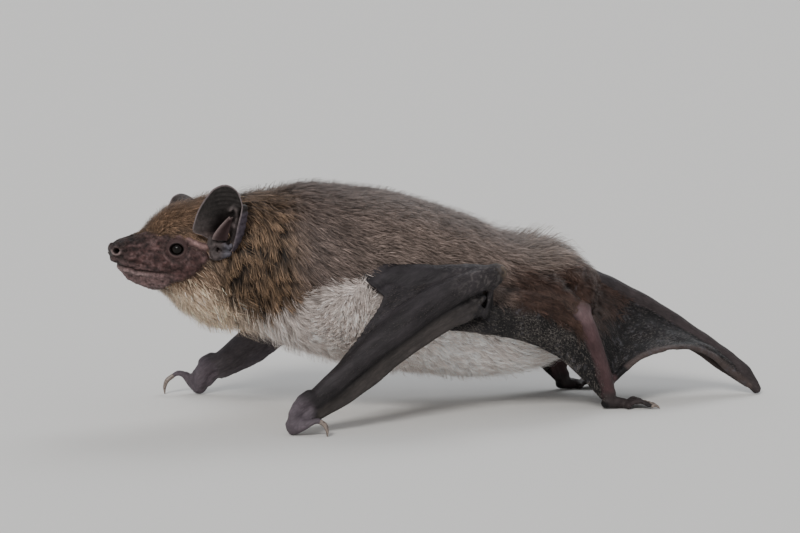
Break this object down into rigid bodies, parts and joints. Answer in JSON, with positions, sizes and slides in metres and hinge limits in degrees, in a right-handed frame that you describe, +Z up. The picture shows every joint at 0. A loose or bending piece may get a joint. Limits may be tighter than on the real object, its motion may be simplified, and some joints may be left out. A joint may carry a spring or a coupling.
{
  "type": "vesper bat",
  "caption": "Small brown and white vesper bat standing on its wrists and feet with folded wings, head raised and tail tip on the floor.",
  "frame": {"origin": "on the floor, under the middle of the bat's box", "axes": "-X is forwards, from the tail to the nose; -Y is the bat's left side; +Z is up"},
  "size_m": [0.082, 0.0372, 0.0283],
  "materials": {
    "back_fur": "short sleek fur, brown with frosted tips, white-grey below",
    "mane_fur": "short ochre-brown fur, longer and clumped on the neck",
    "face_skin": "bare mauve-brown skin with a satin sheen",
    "ear_skin": "thin slate-grey skin with a pale rim",
    "wing_skin": "dark slate wing skin, finely wrinkled",
    "limb_skin": "pinkish-grey skin, slightly shiny",
    "claw_horn": "pale brown horn",
    "eye_gloss": "wet, glossy black"
  },
  "bodies": {
    "root": {"belly": "back_fur", "calcar_left": "wing_skin", "calcar_right": "wing_skin", "chest": "back_fur", "ear_left": "ear_skin", "ear_right": "ear_skin", "eye_left": "eye_gloss", "eye_right": "eye_gloss", "foot_left": "limb_skin", "foot_right": "limb_skin", "forearm_left": "wing_skin", "forearm_right": "wing_skin", "head": "mane_fur", "jaw": "face_skin", "neck": "mane_fur", "rump": "back_fur", "shin_left": "limb_skin", "shin_right": "limb_skin", "tail_middle": "wing_skin", "tail_root": "wing_skin", "tail_skin_left": "wing_skin", "tail_skin_right": "wing_skin", "tail_tip": "wing_skin", "thigh_left": "back_fur", "thigh_right": "back_fur", "thumb_claw_left": "claw_horn", "thumb_claw_right": "claw_horn", "thumb_left": "limb_skin", "thumb_right": "limb_skin", "tragus_left": "face_skin", "tragus_right": "face_skin", "upper_arm_left": "back_fur", "upper_arm_right": "back_fur", "wing_finger_fifth_left": "wing_skin", "wing_finger_fifth_right": "wing_skin", "wing_finger_fourth_left": "wing_skin", "wing_finger_fourth_right": "wing_skin", "wing_finger_third_left": "wing_skin", "wing_finger_third_right": "wing_skin", "wing_front_skin_left": "wing_skin", "wing_front_skin_right": "wing_skin", "wing_hand_skin_left": "wing_skin", "wing_hand_skin_right": "wing_skin", "wing_rear_skin_left": "wing_skin", "wing_rear_skin_right": "wing_skin", "wrist_left": "limb_skin", "wrist_right": "limb_skin"}
  },
  "joints": []
}
